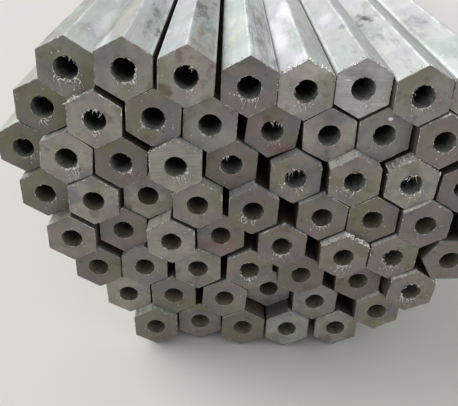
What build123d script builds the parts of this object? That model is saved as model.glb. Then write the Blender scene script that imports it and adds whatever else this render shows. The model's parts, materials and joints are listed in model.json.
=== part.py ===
"""Strapped bundle of hexagonal steel pipes with round bores.

Sizes are in millimetres and +Z is up. The pipes run along Y and their front ends face -Y.
The origin is the middle of the bundle's footprint, on the floor.
"""

import math
import os
from collections import namedtuple

from build123d import *

# The pipe
ACROSS_FLATS = 36.0
BORE = 16.0
CORNER_CHAMFER = 0.5
PIPE_LENGTH = 3000.0

# What a pipe keeps from the pipes that carry it and from the next one in its row
LYING_GAP = 0.3
SIDE_GAP = 0.3

# The straps and the seals that join their ends
STRAP_WIDTH = 25.0
STRAP_THICKNESS = 1.0
STRAP_CLEARANCE = 0.3
STRAP_LAP = 84.0
STRAP_FROM_END = 380.0
SEAL_LENGTH = 34.0
SEAL_WALL = 1.2
SEAL_EDGE = 0.6
SEAL_CLEARANCE = 0.2
SEAL_MOUTH = 9.0
CRIMP_RADIUS = 3.0
CRIMP_DEPTH = 0.8
CRIMP_SPACING = 15.0

# The rows from the floor up, as they lie. The first pipe of a row steps half a pipe out (-1)
# or in (1) from the first pipe of the row below, and then the shift. The lists run from the
# left: the gap before each pipe beyond SIDE_GAP, its roll in degrees and its end's setback.
# A wedged pipe, counted from 0, is pinched by its neighbours that far above its seat.
Row = namedtuple("Row", "name step shift gaps rolls setbacks wedged", defaults=({},))
ROWS = [
    Row(
        name="pipe_row_8", step=0, shift=0.0,
        gaps=[0, 0.2, 0.2, 1.2, 6],
        rolls=[1.5, 2.5, -1.5, 1.5, 1],
        setbacks=[9, 17, 11, 11, 14],
    ),
    Row(
        name="pipe_row_7", step=-1, shift=-5.0,
        gaps=[0, 1.5, 5, 1, 1.5, 15.5],
        rolls=[1, 1.5, -3, 0, 1, 3.5],
        setbacks=[18, 13, 12, 26, 14, 10],
    ),
    Row(
        name="pipe_row_6", step=-1, shift=-4.5,
        gaps=[0, 1, 6, 4.5, 4.5, 11, 2],
        rolls=[-1.5, -1, 1.5, -0.5, 1, 2.5, -2.5],
        setbacks=[17, 14, 12, 12, 9, 13, 0],
    ),
    Row(
        name="pipe_row_5", step=-1, shift=2.0,
        gaps=[0, 1.5, 1, 0.5, 10, 10.5, 1.5, 4],
        rolls=[-2, -1, 1.5, 2, 0.5, 1.5, 0.5, -27.5],
        setbacks=[11, 18, 7, 14, 5, 1, 3, 1],
    ),
    Row(
        name="pipe_row_4", step=-1, shift=-2.0,
        gaps=[0, 3.3, 1, 0.5, 4, 14.5, 0.5, 1.5, 10.5],
        rolls=[-2, -2.5, -1.5, 2, 0, -0.5, 1.5, 0.5, 1],
        setbacks=[26, 9, 20, 7, 6, 7, 6, 2, 5],
    ),
    Row(
        name="pipe_row_3", step=-1, shift=5.0,
        gaps=[0, 0, 0, 1.5, 2, 9, 4, 3, 3, 1],
        rolls=[0.5, -6.5, -3, 0, -1.5, 1, 3, 0.5, 0, -1],
        setbacks=[33, 11, 10, 3, 16, 11, 6, 5, 7, 7],
    ),
    Row(
        name="pipe_row_2", step=1, shift=5.5,
        gaps=[0, 0, 1.3, 0, 5.3, 1.5, 0, 0, 1],
        rolls=[-3, -3, -2.5, -1.5, -5, 3.5, 3, 4, 2],
        setbacks=[19, 6, 6, 10, 19, 17, 16, 5, 6],
    ),
    Row(
        name="pipe_row_1", step=1, shift=3.5,
        gaps=[0, 0.2, 1.8, 3, 0, 0.2, 0, 0.7],
        rolls=[-3, -1.5, -2, 0.5, 2, 1.5, 3, 1],
        setbacks=[11, 5, 4, 8, 11, 13, 6, 9],
        wedged={5: 3.0},
    ),
]
DEEPEST_SETBACK = max(max(row.setbacks) for row in ROWS)

Lying = namedtuple("Lying", "x z roll setback corners")


def hexagon_corners(roll):
    """Corners of the pipe's outline about its centre, the first one pointing up at no roll."""
    radius = ACROSS_FLATS / math.sqrt(3)
    angles = [math.radians(90 + roll + 60 * i) for i in range(6)]
    return [(radius * math.cos(a), radius * math.sin(a)) for a in angles]


def heights_at(corners, x):
    """Heights at which the outline's sides cross x, or none outside it."""
    heights = []
    for (x1, z1), (x2, z2) in zip(corners, corners[1:] + corners[:1]):
        if x1 != x2 and min(x1, x2) <= x <= max(x1, x2):
            heights.append(z1 + (z2 - z1) * (x - x1) / (x2 - x1))
    return heights


def resting_height(upper, x, lower):
    """Height at which an outline comes down onto a pipe that lies already, or none."""
    across = x - lower.x
    touches = []
    for corner_x, corner_z in lower.corners:
        touches += [corner_z - h for h in heights_at(upper, corner_x - across)]
    for corner_x, corner_z in upper:
        touches += [h - corner_z for h in heights_at(lower.corners, corner_x + across)]
    return lower.z + max(touches) + LYING_GAP if touches else None


def lay_pipes():
    """Each row's pipes, set down one row on another from the strap up."""
    rows = {}
    below = []
    first_x = 0.0
    for row in ROWS:
        first_x += row.step * ACROSS_FLATS / 2 + row.shift
        lying = []
        for number, gap, roll, setback in zip(range(len(row.gaps)), row.gaps, row.rolls, row.setbacks):
            corners = hexagon_corners(roll)
            half_width = max(x for x, z in corners)
            x = first_x
            if lying:
                last = lying[-1]
                x = last.x + max(cx for cx, cz in last.corners) + SIDE_GAP + gap + half_width
            strap_top = STRAP_THICKNESS + STRAP_CLEARANCE
            heights = [resting_height(corners, x, pipe) for pipe in below]
            on_strap = strap_top - min(cz for cx, cz in corners)
            z = max([on_strap] + [h for h in heights if h is not None])
            z += row.wedged.get(number, 0)
            lying.append(Lying(x, z, roll, setback, corners))
        below += lying
        rows[row.name] = lying
    return rows


def hull(points):
    """Convex hull of the points, anticlockwise."""
    points = sorted(set(points))

    def half(run):
        chain = []
        for p in run:
            while len(chain) > 1:
                (ax, az), (bx, bz) = chain[-2:]
                if (bx - ax) * (p[1] - az) - (bz - az) * (p[0] - ax) > 0:
                    break
                chain.pop()
            chain.append(p)
        return chain[:-1]

    return half(points) + half(points[::-1])


def front_view(x, z):
    """Frame for drawing the front view, its own X across and its own Y up."""
    return Plane(origin=(x, 0, z), x_dir=(1, 0, 0), z_dir=(0, -1, 0))


def pipe(lying, middle_x):
    outline = RegularPolygon(ACROSS_FLATS / 2, 6, major_radius=False, rotation=30)
    outline = chamfer(outline.vertices(), CORNER_CHAMFER)
    section = outline - Circle(BORE / 2)
    section = front_view(lying.x - middle_x, lying.z) * Rot(0, 0, lying.roll) * section
    front = lying.setback - (PIPE_LENGTH + DEEPEST_SETBACK) / 2
    return Pos(0, front, 0) * extrude(section, PIPE_LENGTH, dir=(0, 1, 0))


def strap(outline, lap_frame, y):
    """The band round the bundle, its ends lapped on the long stretch at the top."""
    loop = make_face(Polyline(*outline, close=True))
    inner = offset(loop, STRAP_CLEARANCE, kind=Kind.INTERSECTION)
    outer = offset(loop, STRAP_CLEARANCE + STRAP_THICKNESS, kind=Kind.INTERSECTION)
    band = extrude(front_view(0, 0) * (outer - inner), STRAP_WIDTH / 2, both=True)
    lap_height = STRAP_CLEARANCE + STRAP_THICKNESS * 1.5
    lap = Box(STRAP_LAP, STRAP_WIDTH, STRAP_THICKNESS)
    return Pos(0, y, 0) * (band + lap_frame * Pos(0, 0, lap_height) * lap)


def seal(lap_frame, y):
    """The sleeve pressed round both layers of the strap, open along its underside."""
    inside = Rectangle(STRAP_WIDTH + 2 * SEAL_CLEARANCE, 2 * (STRAP_THICKNESS + SEAL_CLEARANCE))
    outer_width = STRAP_WIDTH + 2 * (SEAL_CLEARANCE + SEAL_WALL)
    outer_height = 2 * (STRAP_THICKNESS + SEAL_CLEARANCE + SEAL_WALL)
    sleeve = Rectangle(outer_width, outer_height)
    sleeve = chamfer(sleeve.vertices(), SEAL_EDGE) - inside
    sleeve -= Pos(0, -outer_height / 2) * Rectangle(SEAL_MOUTH, outer_height)
    sleeve = extrude(Plane.YZ * sleeve, SEAL_LENGTH / 2, both=True)
    for side in (-1, 1):
        for along in (-CRIMP_SPACING / 2, CRIMP_SPACING / 2):
            reach = outer_width / 2 + CRIMP_RADIUS - CRIMP_DEPTH
            sleeve -= Pos(along, side * reach, 0) * Cylinder(CRIMP_RADIUS, outer_height)
    middle = STRAP_CLEARANCE + STRAP_THICKNESS
    return Pos(0, y, 0) * lap_frame * Pos(0, 0, middle) * sleeve


def lap_place(outline):
    """Frame at the middle of the longest stretch on top, X along the strap and Z outwards."""
    stretches = list(zip(outline, outline[1:] + outline[:1]))
    level = [(a, b) for a, b in stretches if a[0] - b[0] > abs(a[1] - b[1])]
    a, b = max(level, key=lambda stretch: math.dist(*stretch))
    tilt = math.degrees(math.atan2(a[1] - b[1], a[0] - b[0]))
    return Pos((a[0] + b[0]) / 2, 0, (a[1] + b[1]) / 2) * Rot(0, -tilt, 0)


def main():
    rows = lay_pipes()
    corners = [(p.x + cx, p.z + cz) for row in rows.values() for p in row for cx, cz in p.corners]
    outline = hull(corners)
    middle_x = (min(x for x, z in outline) + max(x for x, z in outline)) / 2
    outline = [(x - middle_x, z) for x, z in outline]

    os.makedirs("parts", exist_ok=True)
    for name, lying in rows.items():
        export_step(Compound([pipe(p, middle_x) for p in lying]), f"parts/{name}.step")
    lap_frame = lap_place(outline)
    outer_place = PIPE_LENGTH / 2 - STRAP_FROM_END
    for name, y in (("front", -outer_place), ("middle", 0), ("back", outer_place)):
        export_step(strap(outline, lap_frame, y), f"parts/strap_{name}.step")
        export_step(seal(lap_frame, y), f"parts/strap_seal_{name}.step")


if __name__ == "__main__":
    main()
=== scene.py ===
"""Looks for a strapped bundle of hexagonal steel pipes.

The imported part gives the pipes, straps and seals. This script finishes their steel and adds
what a saw and a drill leave on them: lips and curled burrs at the bores, ragged edges round
the sawn ends and crumbs of swarf. Lengths are in metres, +Z is up and the pipes run along Y.
"""

import json
import math
import random
from collections import namedtuple

import bmesh
import bpy
from bpy.props import FloatProperty, FloatVectorProperty, IntProperty, PointerProperty
from bpy.types import Operator, Panel, PropertyGroup
from mathutils import Matrix, Vector


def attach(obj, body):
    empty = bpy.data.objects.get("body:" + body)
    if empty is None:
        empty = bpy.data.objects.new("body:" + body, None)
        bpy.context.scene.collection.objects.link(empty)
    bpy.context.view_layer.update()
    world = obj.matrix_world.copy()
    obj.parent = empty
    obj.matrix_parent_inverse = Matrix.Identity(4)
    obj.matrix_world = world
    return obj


bl_info = {
    "name": "Hexagonal pipe bundle",
    "version": (1, 0, 0),
    "blender": (4, 5, 0),
    "location": "3D View > Sidebar > Pipes",
    "description": "Steel finishes, burrs and swarf for a bundle of sawn hexagonal pipes",
    "category": "Object",
}

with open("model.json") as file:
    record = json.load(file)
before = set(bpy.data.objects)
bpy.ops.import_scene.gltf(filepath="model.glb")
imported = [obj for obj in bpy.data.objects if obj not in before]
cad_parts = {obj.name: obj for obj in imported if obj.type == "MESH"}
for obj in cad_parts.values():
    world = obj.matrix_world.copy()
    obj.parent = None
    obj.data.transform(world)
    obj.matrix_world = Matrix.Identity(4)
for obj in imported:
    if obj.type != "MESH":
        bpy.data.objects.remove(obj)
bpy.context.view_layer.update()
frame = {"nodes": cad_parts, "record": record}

ROWS = [f"pipe_row_{number}" for number in range(1, 9)]
TOP_ROW = ROWS[0]
UPPER_ROWS = ROWS[:3]
STRAPS = [f"strap_{place}" for place in ("front", "middle", "back")]
SEALS = [f"strap_seal_{place}" for place in ("front", "middle", "back")]
BORE_RADIUS = frame["record"]["mounts"][0]["dims"]["r_mm"] / 1000
FLAT_TO_MIDDLE = 0.018
HEXAGON_TURN = math.radians(60)
CORNER_TO_MIDDLE = FLAT_TO_MIDDLE / math.cos(HEXAGON_TURN / 2)
# A pipe lies over a spot when its middle is nearer to it than this, across the bundle
OVER_A_SPOT = 0.02
# A face is turned to a side when its normal points to that side by more than this
TURNED = 0.3

Pipe = namedtuple("Pipe", "x z roll front back left right")


def merged_copy(node):
    """A bmesh of the node with the vertices that lie on one another made one."""
    shape = bmesh.new()
    shape.from_mesh(frame["nodes"][node].data)
    bmesh.ops.remove_doubles(shape, verts=shape.verts, dist=1e-6)
    return shape


def separate_solids(shape):
    """The vertices of each solid in a bmesh."""
    left = set(shape.verts)
    while left:
        reached = [left.pop()]
        for vertex in reached:
            for edge in vertex.link_edges:
                other = edge.other_vert(vertex)
                if other in left:
                    left.remove(other)
                    reached.append(other)
        yield [vertex.co.copy() for vertex in reached]


def measure_pipe(points):
    """Where a pipe lies and how far it is rolled, from its points.

    As complex numbers the sixth powers of its corners all point one way, which gives the roll.
    """
    low = Vector([min(p[i] for p in points) for i in range(3)])
    high = Vector([max(p[i] for p in points) for i in range(3)])
    middle = (low + high) / 2
    lean = 0
    for p in points:
        across, up = p.x - middle.x, p.z - middle.z
        if math.hypot(across, up) > FLAT_TO_MIDDLE:
            lean += complex(across, up) ** 6
    roll = (math.atan2(lean.imag, lean.real) - math.pi) / 6
    roll = (roll + HEXAGON_TURN / 2) % HEXAGON_TURN - HEXAGON_TURN / 2
    return Pipe(middle.x, middle.z, roll, low.y, high.y, low.x, high.x)


def pipes_of(row):
    """The pipes of a row from the left."""
    shape = merged_copy(row)
    pipes = sorted(measure_pipe(points) for points in separate_solids(shape))
    shape.free()
    return pipes


PIPES = {row: pipes_of(row) for row in ROWS}


def pipes_above(row):
    """The pipes of the row that lies on a row."""
    number = ROWS.index(row)
    return PIPES[ROWS[number - 1]] if number else []


def lying_over(x, pipes):
    """Those of the pipes that lie over a spot."""
    return [pipe for pipe in pipes if abs(pipe.x - x) < OVER_A_SPOT]


# Node trees written as Python expressions


class Wire:
    """An output of a node, whose sums and products add Math nodes."""

    def __init__(self, graph, socket):
        self.graph = graph
        self.socket = socket

    def math(self, operation, *values):
        return self.graph.node("ShaderNodeMath", {"operation": operation}, dict(enumerate(values)))

    def __add__(self, other):
        return self.math("ADD", self, other)

    def __radd__(self, other):
        return self.math("ADD", other, self)

    def __sub__(self, other):
        return self.math("SUBTRACT", self, other)

    def __rsub__(self, other):
        return self.math("SUBTRACT", other, self)

    def __mul__(self, other):
        return self.math("MULTIPLY", self, other)

    def __rmul__(self, other):
        return self.math("MULTIPLY", other, self)

    def __truediv__(self, other):
        return self.math("DIVIDE", self, other)

    def __pow__(self, other):
        return self.math("POWER", self, other)

    def __gt__(self, other):
        return self.math("GREATER_THAN", self, other)

    def __lt__(self, other):
        return self.math("LESS_THAN", self, other)

    def __abs__(self):
        return self.math("ABSOLUTE", self)

    def larger(self, other):
        return self.math("MAXIMUM", self, other)

    def smaller(self, other):
        return self.math("MINIMUM", self, other)

    def floor(self):
        return self.math("FLOOR", self)

    def sine(self):
        return self.math("SINE", self)

    def fade(self, low, high, start=0.0, end=1.0):
        """A soft step from start to end as this goes from low to high."""
        places = {"Value": self, "From Min": low, "From Max": high, "To Min": start, "To Max": end}
        settings = {"interpolation_type": "SMOOTHSTEP"}
        return self.graph.node("ShaderNodeMapRange", settings, places)


class Graph:
    """A node tree that is put together by calls."""

    def __init__(self, tree):
        self.tree = tree

    def node(self, kind, settings=None, inputs=None, out=0):
        """Adds a node. Its settings come first, then the values or wires of its inputs."""
        node = self.tree.nodes.new(kind)
        for name, value in (settings or {}).items():
            if name == "stops":
                self.set_stops(node.color_ramp.elements, value)
            elif name == "steps":
                node.color_ramp.interpolation = value
            else:
                setattr(node, name, value)
        for key, value in (inputs or {}).items():
            if isinstance(value, Wire):
                self.tree.links.new(value.socket, node.inputs[key])
            else:
                node.inputs[key].default_value = value
        return Wire(self, node.outputs[out]) if node.outputs else None

    def set_stops(self, elements, stops):
        while len(elements) < len(stops):
            elements.new(1)
        while len(elements) > len(stops):
            elements.remove(elements[-1])
        for element, (position, colour) in zip(elements, stops):
            element.position = position
            element.color = colour

    def split(self, vector):
        first = self.node("ShaderNodeSeparateXYZ", None, {0: vector})
        return [Wire(self, socket) for socket in first.socket.node.outputs]

    def join(self, x=0.0, y=0.0, z=0.0):
        return self.node("ShaderNodeCombineXYZ", None, {0: x, 1: y, 2: z})

    def mix(self, first, second, factor, blend="MIX"):
        settings = {"data_type": "RGBA", "blend_type": blend}
        return self.node("ShaderNodeMix", settings, {0: factor, 6: first, 7: second}, out=2)

    def scaled(self, vector, amount):
        """A vector or a colour times a number."""
        return self.node("ShaderNodeVectorMath", {"operation": "SCALE"}, {0: vector, 3: amount})

    def noise(self, vector, scale=1.0, detail=2.0, roughness=0.5):
        inputs = {"Vector": vector, "Scale": scale, "Detail": detail, "Roughness": roughness}
        return self.node("ShaderNodeTexNoise", None, inputs)

    def cells(self, vector, scale):
        """How far a point is from the middle of its cell."""
        return self.node("ShaderNodeTexVoronoi", None, {"Vector": vector, "Scale": scale})


class Finish(Graph):
    """A material that is written as a graph."""

    def __init__(self, name):
        self.material = bpy.data.materials.new(name)
        self.material.use_nodes = True
        super().__init__(self.material.node_tree)
        self.tree.nodes.clear()

    def surface(self, **sockets):
        """Ends the material in one shader, whose sockets are named with underscores."""
        inputs = {name.replace("_", " ").title(): value for name, value in sockets.items()}
        shader = self.node("ShaderNodeBsdfPrincipled", None, inputs)
        self.node("ShaderNodeOutputMaterial", None, {"Surface": shader})
        return self.material

    def object_place(self):
        return self.node("ShaderNodeTexCoord", out="Object")

    def bumps(self, height, strength, distance):
        inputs = {"Height": height, "Strength": strength, "Distance": distance}
        return self.node("ShaderNodeBump", None, inputs)


def colour(red, green, blue):
    """A colour as it is seen on a screen, from 0 to 255, made linear."""
    channels = []
    for value in (red, green, blue):
        value /= 255
        channels.append(value / 12.92 if value <= 0.04045 else ((value + 0.055) / 1.055) ** 2.4)
    return (*channels, 1.0)


def opaque(setting):
    """A colour of the settings with its alpha."""
    return (*setting, 1.0)


def numbers(text):
    return [float(word) for word in text.split()]


def shares(text):
    """Steps from 0 to 9 as shares of the whole."""
    return [step / 9 for step in numbers(text)]


# Steel of the pipes

# Tones of the sawn faces, and which of them each pipe has
SAWN = {
    "brown": colour(121, 113, 104),
    "mossy": colour(118, 115, 98),
    "olive": colour(124, 119, 105),
    "ruddy": colour(130, 120, 115),
    "straw": colour(141, 136, 119),
    "grey": colour(131, 128, 121),
    "warm": colour(140, 132, 124),
    "cool": colour(145, 142, 135),
    "plain": colour(157, 151, 143),
    "tin": colour(161, 164, 157),
    "light": colour(172, 166, 160),
    "pale": colour(182, 178, 177),
}
SAWN_ENDS = {
    "pipe_row_1": "grey cool plain ruddy light pale cool plain",
    "pipe_row_2": "mossy plain olive cool ruddy plain cool ruddy warm",
    "pipe_row_3": "mossy plain brown plain brown warm warm plain brown warm",
    "pipe_row_4": "olive plain plain warm brown ruddy brown ruddy warm",
    "pipe_row_5": "warm ruddy plain ruddy ruddy warm warm ruddy",
    "pipe_row_6": "brown grey cool warm brown ruddy warm",
    "pipe_row_7": "plain olive warm plain cool straw",
    "pipe_row_8": "olive warm olive tin plain",
}
# How plainly the saw's lines show, from 0 to 9
SAW_LINES = {
    "pipe_row_1": "1 1 2 2 2 9 1 2",
    "pipe_row_2": "1 2 1 1 1 1 1 1 1",
    "pipe_row_3": "1 3 1 9 1 1 1 2 1 1",
    "pipe_row_4": "1 1 1 1 1 1 1 1 1",
    "pipe_row_5": "1 1 8 1 2 1 1 1",
    "pipe_row_6": "1 1 2 1 1 1 1",
    "pipe_row_7": "2 1 1 1 1 1",
    "pipe_row_8": "1 1 1 1 1",
}
# How far the steel shows in a bore before it is lost in the dark, in millimetres
BORE_DEPTHS = {
    "pipe_row_1": "22 15 14 19 18 34 24 16",
    "pipe_row_2": "16 12 16 18 20 22 20 20 14",
    "pipe_row_3": "14 16 16 18 20 20 24 20 16 14",
    "pipe_row_4": "16 16 22 26 22 26 24 26 18",
    "pipe_row_5": "18 26 24 26 24 20 24 18",
    "pipe_row_6": "34 24 26 30 28 24 24",
    "pipe_row_7": "20 34 28 20 28 30",
    "pipe_row_8": "28 40 36 28 28",
}
# Colours of a bore at its mouth and deep inside, where painted shade darkens it, for the upper rows
# and for the lower ones
BORE_TONES = {
    "upper": (colour(156, 158, 150), colour(48, 50, 44)),
    "lower": (colour(138, 129, 112), colour(62, 55, 46)),
}
# Tones of the drawn faces, and which of them each pipe has on its left and its right half
# Of these tones, the one for the brightest ledges of the lower rows is painted light, and the two
# darkest are painted shade on two of the bottom row's ledges
DRAWN = {
    "plain": colour(196, 200, 198),
    "green": colour(198, 208, 203),
    "violet": colour(204, 204, 212),
    "white": colour(210, 214, 211),
    "mid": colour(180, 184, 183),
    "cool": colour(187, 189, 194),
    "ash": colour(162, 167, 166),
    "dim": colour(146, 149, 143),
    "dull": colour(134, 133, 120),
    "shiny": colour(252, 249, 241),
    "blue": colour(158, 172, 178),
    "mossy": colour(160, 168, 148),
    "dark": colour(72, 72, 65),
    "inky": colour(92, 106, 110),
}
LEFT_FACES = {
    "pipe_row_1": "dull dim cool green violet plain white white",
    "pipe_row_2": "dull plain plain plain plain plain shiny shiny shiny",
    "pipe_row_3": "dull plain plain plain plain plain shiny shiny plain plain",
    "pipe_row_4": "dull plain plain plain plain plain plain shiny plain",
    "pipe_row_5": "dull plain shiny plain shiny shiny shiny plain",
    "pipe_row_6": "plain plain plain plain plain plain shiny",
    "pipe_row_7": "plain plain plain plain plain shiny",
    "pipe_row_8": "mossy plain plain inky plain",
}
# The right halves of the rows that are left out are plain
RIGHT_FACES = {
    "pipe_row_1": "green mid dim mid mid ash ash plain",
    "pipe_row_5": "plain plain plain plain mid dim mid plain",
    "pipe_row_6": "plain plain plain plain plain plain shiny",
    "pipe_row_8": "mossy plain dark blue plain",
}
# Marks on the top row's faces: their middle, how far they reach across and along, their tone
# and strength
Mark = namedtuple("Mark", "x y wide long tone strength")
SMUDGE = colour(66, 72, 70)
TEAL = colour(96, 116, 112)
BROWN = colour(118, 108, 84)
BEIGE = colour(190, 184, 170)
MOSS = colour(206, 214, 178)
# Glare marks are painted highlights
GLARE = colour(252, 253, 255)
MARKS = [
    Mark(0.0804, -1.396, 0.007, 0.034, SMUDGE, 1.3),
    Mark(0.0533, -1.427, 0.002, 0.007, SMUDGE, 0.6),
    Mark(0.1200, -1.383, 0.007, 0.040, SMUDGE, 0.3),
    Mark(-0.0838, -1.425, 0.006, 0.055, TEAL, 1.3),
    Mark(-0.0800, -1.470, 0.003, 0.012, SMUDGE, 1.0),
    Mark(-0.0497, -1.404, 0.008, 0.050, SMUDGE, 1.1),
    Mark(-0.0468, -1.478, 0.007, 0.026, BROWN, 1.1),
    Mark(-0.0450, -1.440, 0.006, 0.022, TEAL, 1.2),
    Mark(-0.0075, -1.425, 0.004, 0.050, SMUDGE, 0.35),
    Mark(-0.1515, -1.440, 0.006, 0.060, SMUDGE, 0.35),
    Mark(0.0254, -1.465, 0.008, 0.032, BROWN, 0.5),
    Mark(-0.0225, -1.414, 0.004, 0.030, MOSS, 0.8),
    Mark(-0.0258, -1.451, 0.004, 0.020, MOSS, 0.7),
    Mark(-0.0996, -1.452, 0.010, 0.060, BEIGE, 0.45),
    Mark(-0.1180, -1.440, 0.004, 0.030, GLARE, 0.45),
    Mark(0.0154, -1.377, 0.006, 0.030, GLARE, 0.6),
    Mark(0.0065, -1.444, 0.006, 0.020, GLARE, 0.6),
    Mark(0.0060, -1.410, 0.005, 0.024, GLARE, 0.4),
    Mark(0.0465, -1.392, 0.005, 0.014, GLARE, 0.35),
    Mark(0.0147, -1.497, 0.005, 0.008, GLARE, 0.25),
]
# Stains on the sawn faces at the front: their row and middle, how far they reach across and up,
# their tone and strength
Stain = namedtuple("Stain", "row x z wide high tone strength")
OLIVE = colour(110, 109, 84)
RED = colour(126, 90, 82)
UMBER = colour(84, 66, 46)
BRIGHT = colour(240, 240, 238)
STAINS = [
    Stain("pipe_row_1", -0.0714, 0.2369, 0.0060, 0.0060, UMBER, 0.8),
    Stain("pipe_row_1", -0.0745, 0.2405, 0.0030, 0.0030, SMUDGE, 0.7),
    Stain("pipe_row_1", -0.0612, 0.2602, 0.0025, 0.0060, RED, 0.6),
    Stain("pipe_row_1", -0.1454, 0.2481, 0.0090, 0.0090, OLIVE, 0.3),
    Stain("pipe_row_1", -0.1211, 0.2427, 0.0070, 0.0120, OLIVE, 0.8),
    Stain("pipe_row_1", -0.0178, 0.2564, 0.0090, 0.0060, SMUDGE, 0.4),
    Stain("pipe_row_1", 0.0457, 0.2457, 0.0030, 0.0006, BRIGHT, 0.8),
    Stain("pipe_row_2", 0.0086, 0.1908, 0.0110, 0.0070, RED, 0.5),
    Stain("pipe_row_2", 0.0798, 0.2188, 0.0021, 0.0015, BRIGHT, 1.7),
    Stain("pipe_row_2", 0.0840, 0.2206, 0.0045, 0.0006, SMUDGE, 0.8),
    Stain("pipe_row_5", -0.0277, 0.1089, 0.0160, 0.0090, RED, 0.6),
]
# Dirt and scratches on the left and right faces of the top row's pipes, from 0 to 9
LEFT_DIRT = "7 4 1 2 1 2 3 2"
RIGHT_DIRT = "2 4 6 5 4 2 2 2"
LEFT_SCRATCHES = "1 2 1 1 1 1 1 1"
RIGHT_SCRATCHES = "1 4 3 9 2 2 2 2"
# How much painted shade darkens a pipe's left and right faces where they lie open, from 0 to 9
SHADED_LEDGES = {"pipe_row_5": {0: "5 0"}, "pipe_row_8": {2: "0 8", 3: "7 0"}}
# How much of the painted gap shade the top row's sides lose where they face each other, from 0 to 9
UNSHADED_SIDES = "0 0 0 0 0 7 0 9"
# Clouds and rust on the sawn faces
MAUVE_CLOUD = colour(124, 112, 120)
OLIVE_CLOUD = colour(116, 116, 88)
COOL_CLOUD = colour(108, 113, 118)
RUST = colour(92, 66, 54)
# Haze, sheen and dirt on the drawn faces
GREEN_HAZE = colour(172, 190, 178)
VIOLET_HAZE = colour(196, 193, 208)
SHEEN = colour(240, 243, 244)
DIRT = colour(106, 103, 84)
SOOT = colour(70, 74, 72)
SPECK = colour(54, 53, 47)
# Painted shade in the gaps between the pipes, with painted light near the sawn ends
GAP_SHADE = colour(68, 48, 39)
DEEP_GAP_SHADE = colour(46, 32, 26)
GAP_MOUTH_LIGHT = colour(118, 115, 104)
# Streaks, spangle and smears on the straps and their seals
STRAP_STREAK = colour(92, 96, 104)
STRAP_SMEAR = colour(92, 74, 58)
SEAL_SPANGLE = colour(174, 176, 178)
SEAL_SMEAR = colour(110, 104, 96)
# Duller patches on burrs, lips and crumbs
DULL_BURR = colour(180, 174, 164)
DULL_LIP = colour(112, 106, 98)
DULL_CRUMB = colour(100, 93, 83)


class PipeFinish(Finish):
    """The steel of one row, which knows where each of the row's pipes lies."""

    def __init__(self, row):
        super().__init__(f"{row}_steel")
        self.pipes = PIPES[row]
        self.chance = random.Random(row)
        self.oily = SHADED_LEDGES.get(row, {})
        self.place = self.object_place()
        self.x, self.y, self.z = self.split(self.place)
        normal = self.node("ShaderNodeNewGeometry", out="True Normal")
        self.facing = self.split(normal)
        self.ends = abs(self.facing[1]) > 0.7
        limits = [(a.right + b.left) / 2 for a, b in zip(self.pipes, self.pipes[1:])]
        self.beyond = [self.x > limit for limit in limits]
        self.number = sum(self.beyond)
        self.lie_in_pipe()
        self.find_cover(pipes_above(row))

    def of_pipe(self, values):
        """The value for the pipe that a point is on, from a list with one for each."""
        return values[0] + sum(b * (v - u) for b, u, v in zip(self.beyond, values, values[1:]))

    def any_of_pipe(self, low, high):
        return self.of_pipe([self.chance.uniform(low, high) for _ in self.pipes])

    def left_or_right(self, left, right):
        """A value for each pipe's left half and another for its right half."""
        left, right = self.of_pipe(left), self.of_pipe(right)
        return left + (right - left) * self.on_right

    def tint(self, colours):
        count = len(self.pipes)
        stops = [(i / count, colours[i]) for i in range(count)]
        place = (self.number + 0.5) / count
        settings = {"steps": "CONSTANT", "stops": stops}
        return self.node("ShaderNodeValToRGB", settings, {0: place})

    def lie_in_pipe(self):
        """Places across and up in the pipe's own section, and how far from its parts."""
        x = self.x - self.of_pipe([p.x for p in self.pipes])
        z = self.z - self.of_pipe([p.z for p in self.pipes])
        turned = self.of_pipe([math.cos(p.roll) for p in self.pipes])
        rolled = self.of_pipe([math.sin(p.roll) for p in self.pipes])
        self.across = x * turned + z * rolled
        self.up = z * turned - x * rolled
        self.radius = (x * x + z * z) ** 0.5
        level = self.across * math.cos(HEXAGON_TURN)
        steep = self.up * math.sin(HEXAGON_TURN)
        self.from_middle = abs(self.across).larger(abs(level + steep)).larger(abs(level - steep))
        angle = self.across.math("ARCTAN2", self.up, self.across)
        self.side = (angle / HEXAGON_TURN + 0.5).floor()
        self.bore = (self.radius < BORE_RADIUS * 1.03) * (1 - self.ends)
        front = self.of_pipe([p.front for p in self.pipes])
        back = self.of_pipe([p.back for p in self.pipes])
        self.depth = (self.y - front).smaller(back - self.y)
        self.on_right = self.across > 0

    def find_cover(self, above):
        """Where the drawn faces lie open to the light and free of painted shade, from 0 to 1."""
        front = self.left_or_right(*(self.covered_from(above, side, "front") for side in (-1, 1)))
        back = self.left_or_right(*(self.covered_from(above, side, "back") for side in (-1, 1)))
        ahead = (self.y - front).fade(0.0015, -0.001)
        behind = (self.y - back).fade(-0.0015, 0.001)
        on_top = self.facing[2] > TURNED
        first = 1 - (self.number > 0.5)
        last = self.number > len(self.pipes) - 1.5
        outer = first * (self.facing[0] < -TURNED) + last * (self.facing[0] > TURNED)
        self.open = (ahead.larger(behind) * on_top).larger(outer * (1 - on_top))
        # Painted shade on open faces that the pipes nearby shade
        oily = [shares(self.oily.get(number, "0 0")) for number in range(len(self.pipes))]
        self.open = self.open * (1 - self.left_or_right(*zip(*oily)))

    def covered_from(self, above, side, end):
        """Where along each pipe's side the pipes above it start to cover it from an end.

        Under a gap in the row above a side is as dark as under a pipe. Beyond that row it is
        open along its whole length.
        """
        other_end, nearest = ("back", min) if end == "front" else ("front", max)
        places = []
        for pipe in self.pipes:
            spot = pipe.x + side * FLAT_TO_MIDDLE / 2
            over = [getattr(p, end) for p in lying_over(spot, above)]
            under_row = above and above[0].x < spot < above[-1].x
            uncovered = getattr(pipe, end if under_row else other_end)
            places.append(nearest(over, default=uncovered))
        return places


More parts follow.
